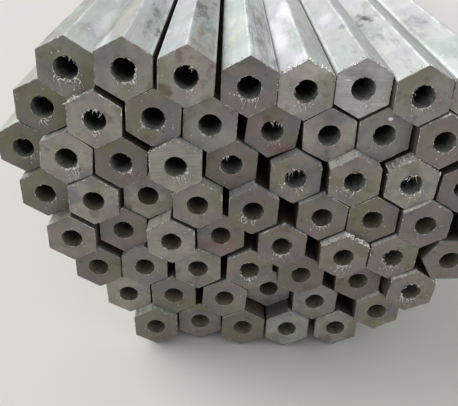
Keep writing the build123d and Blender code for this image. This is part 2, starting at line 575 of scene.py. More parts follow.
def saw_lines(steel, row, own):
    """The height of the saw's lines, and how plainly each pipe shows them."""
    lean = [steel.chance.uniform(-0.16, 0.16) for _ in steel.pipes]
    down_cut = steel.up * steel.of_pipe([math.cos(a) for a in lean])
    down_cut = down_cut + steel.across * steel.of_pipe([math.sin(a) for a in lean])
    fine = steel.noise(steel.join(steel.across * 30, own, down_cut * 1000), 1, 1)
    wide = steel.noise(steel.join(steel.across * 12, own, down_cut * 520), 1, 2)
    return fine * 0.65 + wide * 0.35 - 0.5, steel.of_pipe(shares(SAW_LINES[row]))


def clouded(steel, tint, spot, other_spot, stained):
    """The colour with the clouds and the rusty blotches of a sawn face."""
    cloud = steel.noise(spot, 0.8, 3, 0.55)
    cool = steel.noise(other_spot, 0.9, 2, 0.5)
    rusty = steel.noise(other_spot, 1.6, 3, 0.6).fade(0.58, 0.72)
    tint = steel.mix(tint, MAUVE_CLOUD, cloud.fade(0.5, 0.66) * stained * 0.5)
    tint = steel.mix(tint, OLIVE_CLOUD, cloud.fade(0.5, 0.36) * stained * 0.55)
    tint = steel.mix(tint, COOL_CLOUD, cool.fade(0.54, 0.68) * stained * 0.55)
    return steel.mix(tint, RUST, rusty * stained * 0.5)


def stained_front(steel, row, tint, blotch):
    """The colour with the stains of the front faces."""
    for mark in STAINS:
        if mark.row == row:
            across = (steel.x - mark.x) / mark.wide
            up = (steel.z - mark.z) / mark.high
            spread = across * across + up * up + (blotch - 0.5) * 3 + (steel.y > 0) * 9
            tint = steel.mix(tint, mark.tone, spread.fade(1.3, 0.0) * mark.strength)
    return tint


def rim_shade_highlight_and_wear(steel):
    """How a sawn face is darkened and lightened along its outline and lightened round its bore:
    painted shade and highlights, partly rubbed wear.
    """
    wear_and_highlight = steel.noise(steel.place, 260, 2).fade(0.5, 0.62)
    rim = steel.from_middle.fade(FLAT_TO_MIDDLE - 0.0009, FLAT_TO_MIDDLE - 0.0003)
    mouth = steel.radius.fade(BORE_RADIUS + 0.001, BORE_RADIUS + 0.0001)
    return rim * (wear_and_highlight * 0.7 - 0.25) + mouth * wear_and_highlight * 0.4


def sawn_end(steel, row, settings):
    """Colour and height of the sawn faces."""
    own = steel.number * 3.7
    lines, strength = saw_lines(steel, row, own)
    spot = steel.join(steel.x * 48, own, steel.z * 48)
    other_spot = steel.join(steel.x * 48 + 40, own, steel.z * 48)
    blotch = steel.noise(spot, 1.3, 4, 0.62)
    grit = steel.noise(steel.place, 900, 2, 0.6)
    stained = 1 - strength * strength * 0.6
    tint = steel.tint([SAWN[tone] for tone in SAWN_ENDS[row].split()])
    tint = clouded(steel, tint, spot, other_spot, stained)
    tint = stained_front(steel, row, tint, blotch)
    shade = steel.noise(other_spot, 2.4, 3, 0.6).fade(0.6, 0.75)
    light = 1 + (blotch - 0.5) * 0.62 + (grit - 0.5) * 0.3 + lines * strength * 0.8
    light = light - shade * stained * 0.25 + rim_shade_highlight_and_wear(steel)
    # Painted glints: bright specks where the sawn face sparkles
    glinting = steel.noise(steel.place, 90, 2).fade(0.6, 0.68)
    sparkle = steel.cells(steel.place, 420.0).fade(0.2, 0.1) * glinting
    tint = steel.mix(steel.scaled(tint, light), opaque(settings.fresh_steel), sparkle * 0.6)
    return tint, lines * (0.3 + strength) + grit * 0.2


def hazed(steel, row, settings, face, other_face):
    """The tone of each drawn face with its haze and sheen."""
    plain = "plain " * len(steel.pipes)
    left = steel.tint([DRAWN[tone] for tone in LEFT_FACES[row].split()])
    right = steel.tint([DRAWN[tone] for tone in RIGHT_FACES.get(row, plain).split()])
    tint = steel.mix(left, right, steel.on_right)
    tint = steel.mix(tint, opaque(settings.drawn_steel), 0.15)
    haze = steel.noise(face, 26, 3, 0.55)
    tint = steel.mix(tint, GREEN_HAZE, haze.fade(0.5, 0.64) * 0.5)
    tint = steel.mix(tint, VIOLET_HAZE, haze.fade(0.46, 0.34) * 0.45)
    sheen = steel.noise(other_face, 44, 3, 0.5).fade(0.6, 0.72)
    return steel.mix(tint, SHEEN, sheen * 0.6)


def dirtied(steel, tint, dirty, grime, face):
    """The colour with the dirt and soot of a drawn face."""
    dirt = (grime + dirty * 0.12).fade(0.55, 0.7) * (0.25 + dirty * 0.6)
    tint = steel.mix(tint, DIRT, dirt * 0.75)
    soot = steel.noise(face, 75, 4, 0.72).fade(0.6, 0.72) * dirty
    return steel.mix(tint, SOOT, soot * 0.55)


def marked(steel, tint, broken):
    """The colour with the smudges and the painted glare of the top row's faces."""
    grain = broken.fade(0.44, 0.62)
    sway = (steel.noise(steel.join(steel.x, steel.y * 0.4, steel.z), 110, 3) - 0.5) * 1.6
    for mark in MARKS:
        across = (steel.x - mark.x) / mark.wide + sway
        along = (steel.y - mark.y) / mark.long + sway
        soft = (across * across + along * along).fade(1.6, 0.0) * mark.strength
        if mark.tone != GLARE:
            soft = soft * (grain * 1.1 + 0.2)
        tint = steel.mix(tint, mark.tone, soft)
    return tint


def speckled(steel, tint, settings):
    """The colour with dark and bright specks."""
    specks = steel.cells(steel.place, 190.0)
    streak = steel.noise(steel.join(steel.x, steel.y * 0.3, steel.z), 48, 2)
    dark = specks.fade(0.13, 0.06) * streak.fade(0.5, 0.4)
    bright = specks.fade(0.19, 0.1) * streak.fade(0.55, 0.66)
    tint = steel.mix(tint, SPECK, dark * 0.5)
    return steel.mix(tint, opaque(settings.fresh_steel), bright * 0.85)


def gap_shading(steel, row, settings, mottle):
    """Painted shade on the drawn faces that lie against each other, a little lighter at the ends."""
    shade_in_gap = steel.mix(GAP_SHADE, DEEP_GAP_SHADE, mottle.fade(0.4, 0.6))
    shade_in_gap = steel.mix(shade_in_gap, GAP_MOUTH_LIGHT, steel.depth.fade(0.010, 0.001) * 0.55)
    if row == TOP_ROW:
        unshaded = steel.of_pipe(shares(UNSHADED_SIDES))
        shade_in_gap = steel.mix(shade_in_gap, opaque(settings.drawn_steel), unshaded)
    return shade_in_gap


def drawn_side(steel, row, settings):
    """Colour and height of the long drawn faces."""
    side = steel.join(steel.number, steel.side, float(ROWS.index(row)))
    own = steel.node("ShaderNodeTexWhiteNoise", {"noise_dimensions": "3D"}, {"Vector": side})
    face = steel.join(steel.x + own * 3, steel.y * 0.45, steel.z + own)
    other_face = steel.join(steel.x - own * 2, steel.y * 0.3, steel.z + own * 4)
    mottle = steel.noise(face, 90, 5, 0.66)
    grime = steel.noise(other_face, 60, 6, 0.7)
    drawn = steel.noise(steel.join(steel.x * 700, steel.y * 6, steel.z * 700), 1, 2)
    groove = steel.noise(steel.join(steel.x * 1100, steel.y * 16, steel.z * 1100), 1, 2)
    # Painted light: the lower rows' faces, mostly ledges that the pipes above shade, are made lighter
    # than the top row's
    if row == TOP_ROW:
        dirty = steel.left_or_right(shares(LEFT_DIRT), shares(RIGHT_DIRT))
        worn = steel.left_or_right(shares(LEFT_SCRATCHES), shares(RIGHT_SCRATCHES))
        level, drawn_depth = 0.92, 0.16
    else:
        dirty = steel.any_of_pipe(0.3, 0.7)
        worn = steel.any_of_pipe(0.1, 0.4)
        level, drawn_depth = 1.12, 0.7
    scratch = groove.fade(0.56, 0.68) * worn
    corner = steel.radius.fade(CORNER_TO_MIDDLE - 0.0011, CORNER_TO_MIDDLE - 0.0004)
    light = level + own * 0.08 + (mottle - 0.5) * 0.55 - scratch * 0.5
    light = light + (drawn - 0.5) * drawn_depth + corner * mottle.fade(0.35, 0.55) * 0.35
    tint = hazed(steel, row, settings, face, other_face)
    tint = steel.scaled(dirtied(steel, tint, dirty, grime, face), light)
    if row == TOP_ROW:
        tint = marked(steel, tint, grime)
    tint = speckled(steel, tint, settings)
    # Faces that are not open get the painted shade of the gaps
    tint = steel.mix(gap_shading(steel, row, settings, mottle), tint, steel.open)
    return tint, drawn * 0.4 + mottle * 0.6 - scratch * 0.6


def bore_wall(steel, row, settings):
    """Colour of the bore, which painted shade soon darkens behind its mouth."""
    mouth, deep = BORE_TONES["upper" if row in UPPER_ROWS else "lower"]
    scale = steel.noise(steel.join(steel.x * 220, steel.y * 90, steel.z * 220), 1, 4, 0.65)
    mottle = scale.fade(0.36, 0.64)
    reach = steel.of_pipe([depth / 1000 for depth in numbers(BORE_DEPTHS[row])])
    # Painted shade that deepens into the bore
    dark = (steel.depth / reach + (mottle - 0.5) * 0.7).fade(0.0, 1.0)
    tint = steel.scaled(steel.mix(mouth, deep, dark), 0.5 + mottle)
    # Painted glints: bright specks on the bore's wall
    glinting = steel.noise(steel.place, 45, 1).fade(0.54, 0.62)
    glints = steel.cells(steel.place, 330.0).fade(0.2, 0.1) * glinting
    return steel.mix(tint, opaque(settings.fresh_steel), glints * 0.7)


def pipe_steel(row, settings):
    steel = PipeFinish(row)
    end_colour, end_height = sawn_end(steel, row, settings)
    side_colour, side_height = drawn_side(steel, row, settings)
    tint = steel.mix(side_colour, bore_wall(steel, row, settings), steel.bore)
    tint = steel.mix(tint, end_colour, steel.ends)
    height = side_height + (end_height - side_height) * steel.ends
    wear = steel.noise(steel.place, 120, 3)
    hidden = (1 - steel.ends) * (1 - steel.open).larger(steel.bore)
    roughness = 0.32 + wear * 0.22 + steel.ends * 0.16 + hidden * 0.3
    metallic = 0.5 - steel.ends * 0.2 - hidden * 0.4
    normal = steel.bumps(height, 0.35, 0.0004)
    return steel.surface(base_color=tint, roughness=roughness, metallic=metallic, normal=normal)


def strap_steel(settings):
    """Dark blued strapping with fine streaks and brown smears."""
    steel = Finish("strap_steel")
    place = steel.object_place()
    x, y, z = steel.split(place)
    streak = steel.noise(steel.join(x * 30, y * 900, z * 30), 1, 3)
    smear = steel.noise(place, 40, 4, 0.6)
    tint = steel.mix(opaque(settings.strap_colour), STRAP_STREAK, streak.fade(0.4, 0.7))
    tint = steel.mix(tint, STRAP_SMEAR, smear.fade(0.6, 0.75) * 0.5)
    tint = steel.scaled(tint, 0.85 + smear * 0.3)
    normal = steel.bumps(streak, 0.2, 0.0002)
    roughness = 0.3 + smear * 0.25
    return steel.surface(base_color=tint, roughness=roughness, metallic=0.7, normal=normal)


def seal_steel(settings):
    """Zinc grey pressed steel with a fine spangle and darker smears."""
    steel = Finish("seal_steel")
    place = steel.object_place()
    spangle = steel.cells(place, 420.0).fade(0.2, 0.8)
    smear = steel.noise(place, 160, 4, 0.6)
    tint = steel.mix(opaque(settings.seal_colour), SEAL_SPANGLE, spangle)
    tint = steel.mix(tint, SEAL_SMEAR, smear.fade(0.58, 0.72) * 0.5)
    normal = steel.bumps(smear, 0.25, 0.0002)
    roughness = 0.36 + smear * 0.2
    return steel.surface(base_color=tint, roughness=roughness, metallic=0.75, normal=normal)


def fresh_steel(name, settings, dull):
    """Bright steel just cut by the saw or drill, with duller patches."""
    steel = Finish(name)
    place = steel.object_place()
    patch = steel.noise(place, 500, 2)
    tint = steel.mix(opaque(settings.fresh_steel), dull, patch.fade(0.46, 0.62))
    roughness = 0.2 + patch * 0.25
    normal = steel.bumps(steel.noise(place, 2500, 1), 0.2, 0.0001)
    return steel.surface(base_color=tint, roughness=roughness, metallic=0.85, normal=normal)


# Pieces that Geometry Nodes make


class PieceTree(Graph):
    """A Geometry Nodes tree with named inputs, for one kind of piece."""

    def __init__(self, name, sizes):
        super().__init__(bpy.data.node_groups.new(name, "GeometryNodeTree"))
        self.name = name
        interface = self.tree.interface
        interface.new_socket("Geometry", in_out="INPUT", socket_type="NodeSocketGeometry")
        interface.new_socket("Geometry", in_out="OUTPUT", socket_type="NodeSocketGeometry")
        self.sizes = {}
        for label, value in sizes.items():
            kind = "NodeSocketInt" if isinstance(value, int) else "NodeSocketFloat"
            socket = interface.new_socket(label, in_out="INPUT", socket_type=kind)
            self.sizes[socket.identifier] = value

    def input(self, label):
        return self.node("NodeGroupInput", out=label)

    def attribute(self, name, kind="FLOAT"):
        return self.node("GeometryNodeInputNamedAttribute", {"data_type": kind}, {"Name": name})

    def vector(self, name):
        return self.attribute(name, "FLOAT_VECTOR")

    def vector_math(self, operation, *values):
        settings = {"operation": operation}
        return self.node("ShaderNodeVectorMath", settings, dict(enumerate(values)))

    def random_vector(self, low, high, seed):
        inputs = {"Min": low, "Max": high, "Seed": seed}
        return self.node("FunctionNodeRandomValue", {"data_type": "FLOAT_VECTOR"}, inputs)

    def from_centre(self, place):
        """The way to a point from the middle of the sawn end that it is on."""
        return self.vector_math("SUBTRACT", place, self.vector("centre"))

    def rough(self, place, scale, detail):
        """Noise that changes with the tree's seed."""
        inputs = {"Vector": place, "W": self.input("Seed"), "Scale": scale, "Detail": detail}
        return self.node("ShaderNodeTexNoise", {"noise_dimensions": "4D"}, inputs)

    def at_points(self, instance, **turn):
        """The instance at each point of the seedbed, made real."""
        inputs = {"Points": self.input("Geometry"), "Instance": instance, **turn}
        instances = self.node("GeometryNodeInstanceOnPoints", None, inputs)
        return self.node("GeometryNodeRealizeInstances", None, {"Geometry": instances})

    def moved(self, geometry, offset):
        inputs = {"Geometry": geometry, "Offset": offset}
        return self.node("GeometryNodeSetPosition", None, inputs)

    def sweep(self, curve, swell, material, capped=False):
        """Ends the tree in a three-sided wire along a curve, which swells and thins."""
        section = {"Resolution": 3, "Radius": self.input("Thickness")}
        profile = self.node("GeometryNodeCurvePrimitiveCircle", {"mode": "RADIUS"}, section)
        inputs = {"Curve": curve, "Profile Curve": profile, "Scale": swell, "Fill Caps": capped}
        self.finish(self.node("GeometryNodeCurveToMesh", None, inputs), material)

    def finish(self, geometry, material):
        """Ends the tree in real geometry with its material."""
        real = self.node("GeometryNodeRealizeInstances", None, {"Geometry": geometry})
        inputs = {"Geometry": real, "Material": material}
        painted = self.node("GeometryNodeSetMaterial", None, inputs)
        self.node("NodeGroupOutput", None, {"Geometry": painted})

    def grow(self, bed):
        """Runs the tree on a seedbed, keeps the result as a plain piece and lets it ride."""
        start = bpy.data.objects.new(self.name + " start", bed)
        bpy.context.scene.collection.objects.link(start)
        modifier = start.modifiers.new(self.name, "NODES")
        modifier.node_group = self.tree
        for identifier, value in self.sizes.items():
            modifier[identifier] = value
        bpy.context.view_layer.update()
        evaluated = start.evaluated_get(bpy.context.evaluated_depsgraph_get())
        mesh = bpy.data.meshes.new_from_object(evaluated)
        start.modifiers.clear()
        bpy.data.objects.remove(start)
        if not mesh.polygons or not mesh.materials:
            raise RuntimeError(f"{self.name} came out empty or bare")
        mesh.name = self.name
        piece = bpy.data.objects.new(self.name, mesh)
        bpy.context.scene.collection.objects.link(piece)
        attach(piece, "root")


def seedbed(name, points, edges=(), faces=(), **attributes):
    """A mesh that a tree starts from, with an attribute value for each point."""
    mesh = bpy.data.meshes.new(name)
    mesh.from_pydata(points, edges, faces)
    for label, values in attributes.items():
        kind = "FLOAT_VECTOR" if hasattr(values[0], "__len__") else "FLOAT"
        attribute = mesh.attributes.new(label, kind, "POINT")
        if kind == "FLOAT_VECTOR":
            attribute.data.foreach_set("vector", [v for vector in values for v in vector])
        else:
            attribute.data.foreach_set("value", values)
    return mesh


def pipe_ends():
    """Each sawn end as its row, the pipe's number, the pipe, its face's place and its outward way."""
    for row in ROWS:
        for number, pipe in enumerate(PIPES[row]):
            yield row, number, pipe, pipe.front, -1
            yield row, number, pipe, pipe.back, 1


def hexagon_points(pipe, y, reach):
    """The six corners of a pipe's outline at a face."""
    points = []
    for corner in range(6):
        angle = math.radians(90 + 60 * corner) + pipe.roll
        points.append((pipe.x + reach * math.cos(angle), y, pipe.z + reach * math.sin(angle)))
    return points


def lip_tree(settings, material):
    """Ragged rings round the bores, thick where the drill has pushed steel out."""
    sizes = {"Thickness": settings.lip_thickness, "Teeth": settings.teeth, "Seed": settings.seed}
    tree = PieceTree("bore_lips", sizes)
    circle = {"Resolution": 80, "Radius": BORE_RADIUS}
    ring = tree.node("GeometryNodeCurvePrimitiveCircle", {"mode": "RADIUS"}, circle)
    stand = tree.node("FunctionNodeEulerToRotation", None, {0: (math.pi / 2, 0, 0)})
    rings = tree.at_points(ring, Rotation=stand)
    place = tree.node("GeometryNodeInputPosition")
    rough = tree.rough(place, 420.0, 2.0)
    tooth = tree.rough(place, 760.0, 1.0)
    patch = tree.rough(place, 150.0, 1.0)
    burred = tree.attribute("burred")
    from_centre = tree.from_centre(place)
    lowness = tree.split(from_centre)[2].fade(BORE_RADIUS * 0.7, -BORE_RADIUS * 0.9, 0.3, 1.0)
    swell = rough.fade(0.44, 0.62) * lowness * burred * patch.fade(0.4, 0.55) + 0.06
    bite = tooth.fade(0.5, 0.68) * patch.fade(0.42, 0.54) * (0.3 + burred * 0.7)
    inwards = tree.scaled(from_centre, bite * tree.input("Teeth") / -BORE_RADIUS)
    out = tree.scaled(tree.vector("outward"), rough * swell * LIP_RISE)
    rings = tree.moved(rings, tree.vector_math("ADD", inwards, out))
    tree.sweep(rings, swell.larger(bite * 0.8), material)
    return tree


def edge_tree(settings, material):
    """Ragged bright burr along the outlines of the sawn ends."""
    sizes = {"Thickness": settings.edge_thickness, "Spacing": 0.0008, "Seed": settings.seed}
    tree = PieceTree("saw_burrs", sizes)
    curve = tree.node("GeometryNodeMeshToCurve", None, {"Mesh": tree.input("Geometry")})
    inputs = {"Curve": curve, "Length": tree.input("Spacing")}
    curve = tree.node("GeometryNodeResampleCurve", {"mode": "LENGTH"}, inputs)
    place = tree.node("GeometryNodeInputPosition")
    rough = tree.rough(place, 480.0, 2.0)
    stretch = tree.rough(place, 60.0, 2.0)
    above = tree.split(tree.from_centre(place))[2].fade(-0.006, 0.008, 0.3, 1.0)
    swell = rough.fade(0.46, 0.62) * stretch.fade(0.47, 0.58) * above * tree.attribute("burred")
    swell = swell + 0.03
    reach = rough * swell * tree.input("Thickness")
    curve = tree.moved(curve, tree.scaled(tree.vector("outward"), reach))
    tree.sweep(curve, swell, material)
    return tree


def curl_tree(settings, material):
    """Thin curled burrs, each from a point with its own way, fall and reach."""
    sizes = {"Thickness": settings.curl_thickness, "Points": 9, "Seed": settings.seed}
    tree = PieceTree("curled_burrs", sizes)
    inputs = {"Count": tree.input("Points"), "Offset": (0.0, 0.0, 0.0)}
    line = tree.node("GeometryNodeMeshLine", {"mode": "OFFSET", "count_mode": "TOTAL"}, inputs)
    line = tree.node("GeometryNodeMeshToCurve", None, {"Mesh": line})
    lines = tree.at_points(line)
    index = tree.node("GeometryNodeInputIndex")
    count = tree.input("Points")
    along = (index - (index / count).floor() * count) / (count - 1)
    reach = tree.attribute("reach")
    swing = (along * tree.attribute("curl")).sine() * reach * 0.17
    aim = tree.scaled(tree.vector("aim"), along * reach)
    fall = tree.scaled(tree.vector("hang"), along * along * reach)
    sway = tree.scaled(tree.vector("sway"), swing)
    move = tree.vector_math("ADD", tree.vector_math("ADD", aim, fall), sway)
    lines = tree.moved(lines, move)
    place = tree.node("GeometryNodeInputPosition")
    beaded = tree.rough(place, 800.0, 1.0).fade(0.4, 0.62, 0.25, 1.5)
    taper = along.fade(1.2, 0.3) * beaded * tree.attribute("bold")
    tree.sweep(lines, taper, material, capped=True)
    return tree


def crumb_tree(settings, material):
    """Crumbs of swarf that lie scattered on faces."""
    sizes = {"Size": settings.crumb_size, "Seed": settings.seed}
    tree = PieceTree("swarf_crumbs", sizes)
    density = tree.attribute("crumbs")
    inputs = {"Mesh": tree.input("Geometry"), "Density": density, "Seed": tree.input("Seed")}
    spots = tree.node("GeometryNodeDistributePointsOnFaces", None, inputs)
    ball = {"Radius": tree.input("Size"), "Subdivisions": 1}
    crumb = tree.node("GeometryNodeMeshIcoSphere", None, ball)
    turn = tree.random_vector((0.0, 0.0, 0.0), (6.28, 6.28, 6.28), 3)
    size = tree.random_vector((0.2, 0.25, 0.2), (1.5, 0.8, 0.6), 5)
    size = tree.scaled(size, tree.attribute("coarse"))
    inputs = {"Points": spots, "Instance": crumb, "Rotation": turn, "Scale": size}
    tree.finish(tree.node("GeometryNodeInstanceOnPoints", None, inputs), material)
    return tree


# Where the burrs and crumbs sit

# How far a lip rises from its sawn face where it is thickest
LIP_RISE = 0.0006
# How far inside a pipe's sharp corners the burr along its outline runs
CORNER_INSET = 0.00035
# How far along the pipe crumbs lie on a ledge: at least, at most and where nothing lies above
SHALLOW_LEDGE = 0.0015
DEEP_LEDGE = 0.012
OPEN_LEDGE = 0.005
# How far in front of its pipe's sawn end a ledge of crumbs begins
LEDGE_START = 0.0006
# How deep in the outline the curled burrs on it are rooted
BURR_ROOT = 0.0004
# How far from a bore's rim the crumbs on a sawn face begin and end
FACE_CRUMBS = (0.001, 0.007)
# How far off the steel the patches with crumbs lie
OFF_STEEL = 0.0001
# How burred each bore's mouth is and how ragged each outline, where 5 is full
FULL_BURR = 5
BURRED_MOUTHS = {
    "pipe_row_1": "5 5 4 6 5 4 5 3",
    "pipe_row_2": "4 6 4 2 4 3 4 4 3",
    "pipe_row_3": "3 5 4 6 2 4 4 6 3 3",
    "pipe_row_4": "4 2 2 2 4 3 3 3 3",
    "pipe_row_5": "2 1 3 2 4 5 6 1",
    "pipe_row_6": "1 2 2 4 1 2 6",
    "pipe_row_7": "2 1 1 1 2 2",
    "pipe_row_8": "1 0 0 1 1",
}
RAGGED_OUTLINES = {
    "pipe_row_1": "2 2 2 3 4 6 3 2",
    "pipe_row_2": "2 5 3 2 2 2 4 4 3",
    "pipe_row_3": "3 4 2 6 2 3 4 4 3 3",
    "pipe_row_4": "3 4 2 3 3 3 2 4 3",
    "pipe_row_5": "3 2 4 2 5 5 5 2",
    "pipe_row_6": "2 2 3 3 2 2 5",
    "pipe_row_7": "2 2 2 2 3 2",
    "pipe_row_8": "3 2 2 2 2",
}
# Tufts of curled burr at each bore: the hour on a clock face and the length in millimetres
TUFTS = {
    "pipe_row_1": [
        "1 3, 4 4, 5 15, 6 3, 7 7", "1 3, 3 7, 4 8, 5 8, 6 4", "5 3, 6 3, 1 4",
        "5 9, 6 5, 7 6, 8 6", "5 5, 6 6, 7 8, 10 4", "4 3, 5 3, 6 1",
        "5 4, 6 4, 7 4, 9 5, 10 4", "6 2",
    ],
    "pipe_row_2": [
        "5 6, 6 12", "10 5, 12 5, 1 5, 6 7, 9 5", "4 4, 5 6, 8 7", "7 3", "12 6, 1 6, 5 5, 6 4",
        "5 1, 6 1, 7 1", "5 2, 6 2", "4 2, 5 2, 6 2", "6 2",
    ],
    "pipe_row_3": [
        "5 5, 6 3, 12 3", "4 6, 5 13, 6 4", "4 6, 5 6, 6 4", "4 6, 5 9, 6 7", "11 4, 8 5",
        "11 6, 12 5, 5 8, 8 9", "7 6, 8 8", "12 7, 4 8, 5 9, 6 8, 7 7", "5 2", "6 2",
    ],
    "pipe_row_4": [
        "4 4, 5 4", "4 1", "5 2", "5 2", "7 7, 8 10, 6 6", "5 4, 6 4, 7 3", "7 2", "7 3", "6 2",
    ],
    "pipe_row_5": [
        "4 2", "6 1", "7 3", "5 2", "6 8, 5 8, 7 6", "6 8, 5 9, 7 8", "6 4, 7 5, 9 7, 5 4",
        "6 1",
    ],
    "pipe_row_6": [
        "5 1", "5 2, 10 2", "7 1", "6 11, 5 7, 7 6", "6 1", "6 1", "6 7, 7 7, 1 3, 5 6",
    ],
    "pipe_row_7": ["8 3, 3 1", "5 1", "6 1", "6 1", "5 1", "5 2"],
    "pipe_row_8": ["8 1", "6 1", "6 1", "6 1", "5 1"],
}
# Tufts of burr on the outlines of some pipes, in the same way
EDGE_TUFTS = {
    "pipe_row_1": {
        3: "1 2, 2 2, 3 2",
        4: "10 3, 11 4, 11 2",
        5: "12 3, 1 3, 11 3, 10 2, 3 2",
        6: "3 2",
    },
    "pipe_row_2": {1: "10.7 14, 10.7 9, 10 2, 1 1"},
    "pipe_row_3": {3: "11 2, 10 3", 6: "11 2, 9 2", 7: "10 4, 11 3, 9 3"},
    "pipe_row_4": {0: "11 1", 7: "11 2, 10 2"},
    "pipe_row_5": {
        2: "10 2, 7 2",
        4: "11 2",
        5: "12 2, 1 4, 1 3, 2 4, 2 3, 11 2",
        6: "11 1, 10 2",
    },
    "pipe_row_6": {6: "11 3, 12 2, 10 2"},
    "pipe_row_7": {0: "9 1"},
}
# Amounts of crumbs on a pipe's left and right upper faces, in front of the pipes above
LEDGES = {
    "pipe_row_1": {3: "5 5", 4: "20 16", 5: "11 9", 6: "4 4", 7: "2 2"},
    "pipe_row_2": {1: "14 3", 7: "6 4", 8: "3 3"},
    "pipe_row_3": {3: "16 6", 6: "12 8", 7: "24 9"},
    "pipe_row_4": {5: "2 2", 7: "3 3"},
    "pipe_row_5": {4: "6 6", 5: "12 75", 6: "9 6"},
    "pipe_row_6": {3: "2 2", 6: "8 7"},
    "pipe_row_7": {3: "3 3"},
    "pipe_row_8": {0: "5 5", 3: "0 2"},
}
# A curled burr's root, the ways it grows, falls and sways, its length, curl and boldness
Burr = namedtuple("Burr", "points aim hang sway reach curl bold")


def tufts(text):
    """The hour and the length of each tuft in a list of them."""
    return [numbers(tuft) for tuft in text.split(",") if tuft]


def clock_way(hour, sway):
    """The direction of an hour on a clock face, and some degrees beside it."""
    angle = math.radians(90 - 30 * hour + sway)
    return Vector((math.cos(angle), 0, math.sin(angle)))


def outline_reach(pipe, out):
    """How far a pipe's outline is from its middle in a direction."""
    angle = math.atan2(out.z, out.x) - pipe.roll
    half = HEXAGON_TURN / 2
    return FLAT_TO_MIDDLE / math.cos((angle + half) % HEXAGON_TURN - half)


def mouth_seedbed():
    """A point in the middle of each bore's mouth."""
    points, outward, burred = [], [], []
    for row, number, pipe, y, way in pipe_ends():
        points.append((pipe.x, y, pipe.z))
        outward.append((0.0, float(way), 0.0))
        burred.append(numbers(BURRED_MOUTHS[row])[number] / FULL_BURR)
    return seedbed("mouths", points, centre=points, outward=outward, burred=burred)


def outline_seedbed():
    """A closed line round each sawn end, just inside its corners."""
    points, edges, centre, outward, burred = [], [], [], [], []
    for row, number, pipe, y, way in pipe_ends():
        first = len(points)
        points += hexagon_points(pipe, y, CORNER_TO_MIDDLE - CORNER_INSET)
        edges += [(first + i, first + (i + 1) % 6) for i in range(6)]
        centre += [(pipe.x, y, pipe.z)] * 6
        outward += [(0.0, float(way), 0.0)] * 6
        burred += [numbers(RAGGED_OUTLINES[row])[number] / FULL_BURR] * 6
    return seedbed("outlines", points, edges, centre=centre, outward=outward, burred=burred)


def bore_burr(chance, middle, face, hour, length):
    """A burr on a bore's rim: the lower ones lean away from the bore, the upper ones into it."""
    out = clock_way(hour, chance.gauss(0, 11))
    side = out.cross(face)
    lean = face * chance.uniform(0.05, 0.3) + side * chance.uniform(-0.35, 0.35)
    fall = Vector((chance.uniform(-0.2, 0.2), face.y * 0.02, -chance.uniform(0.4, 1.0)))
    slim = chance.random() ** 2
    outwards = 1 if 3 < hour < 9 else -1
    return Burr(
        points=middle + out * BORE_RADIUS,
        aim=out * chance.uniform(0.1, 0.55) * outwards + lean,
        hang=fall,
        sway=side,
        reach=length / 1000 * (0.2 + 0.75 * slim),
        curl=chance.uniform(2.0, 6.5) * chance.choice((-1, 1)),
        bold=chance.uniform(1.0, 1.9) * (1 - 0.6 * slim),
    )


def outline_burr(chance, middle, face, hour, length, pipe):
    """A burr on the outline of a sawn end."""
    out = clock_way(hour, chance.gauss(0, 8))
    side = out.cross(face)
    ragged = side * chance.uniform(-0.7, 0.7) + face * chance.uniform(-0.2, 0.5)
    return Burr(
        points=middle + out * (outline_reach(pipe, out) - BURR_ROOT),
        aim=out * chance.uniform(0.2, 0.7) + ragged,
        hang=Vector((0, 0, -chance.uniform(0.1, 0.4))),
        sway=side,
        reach=length / 1000 * chance.uniform(0.2, 1.0) ** 1.5,
        curl=chance.uniform(3.0, 7.0) * chance.choice((-1, 1)),
        bold=chance.choice((0.6, 0.8, 1.0, 1.5)),
    )


def curl_seedbed(settings):
    """A point for each curled burr, with the way it grows, falls and sways."""
    chance = random.Random(settings.seed)
    burrs = []
    for row, number, pipe, y, way in pipe_ends():
        middle = Vector((pipe.x, y, pipe.z))
        face = Vector((0, way, 0))
        for hour, length in tufts(TUFTS[row][number]):
            for _ in range(settings.burrs_in_tuft):
                burrs.append(bore_burr(chance, middle, face, hour, length))
        for hour, length in tufts(EDGE_TUFTS.get(row, {}).get(number, "")):
            for _ in range(settings.burrs_in_tuft):
                burrs.append(outline_burr(chance, middle, face, hour, length, pipe))
    values = {label: [getattr(burr, label) for burr in burrs] for label in Burr._fields}
    return seedbed("tufts", **values)


def ledge_patches():
    """Strips of the upper faces in front of the pipes above, each with its amount of crumbs."""
    for row, ledges in LEDGES.items():
        above = pipes_above(row)
        for number, amounts in ledges.items():
            pipe = PIPES[row][number]
            corners = hexagon_points(pipe, pipe.front, CORNER_TO_MIDDLE + OFF_STEEL)
            sides = ((corners[0], corners[1]), (corners[5], corners[0]))
            for (a, b), amount in zip(sides, numbers(amounts)):
                over = [p.front for p in lying_over((a[0] + b[0]) / 2, above)]
                deep = min(over, default=pipe.front + OPEN_LEDGE) - pipe.front
                deep = min(max(deep, SHALLOW_LEDGE), DEEP_LEDGE)
                near, far = -LEDGE_START, deep - LEDGE_START
                strip = [(a[0], a[1] + near, a[2]), (b[0], b[1] + near, b[2])]
                strip += [(b[0], b[1] + far, b[2]), (a[0], a[1] + far, a[2])]
                yield strip, amount


def face_patches(chance):
    """Patches at each hour round the bores, with the most crumbs below long burrs."""
    for row, number, pipe, y, way in pipe_ends():
        lengths = dict(tufts(TUFTS[row][number]))
        face = Vector((pipe.x, y + way * OFF_STEEL, pipe.z))
        near, far = (BORE_RADIUS + reach for reach in FACE_CRUMBS)
        for hour in range(1, 13):
            amount = 0.1 * chance.random() ** 3 + 0.2 * lengths.get(hour, 0) * (3 < hour < 9)
            a, b = clock_way(hour, -15), clock_way(hour, 15)
            yield [face + a * near, face + b * near, face + b * far, face + a * far], amount


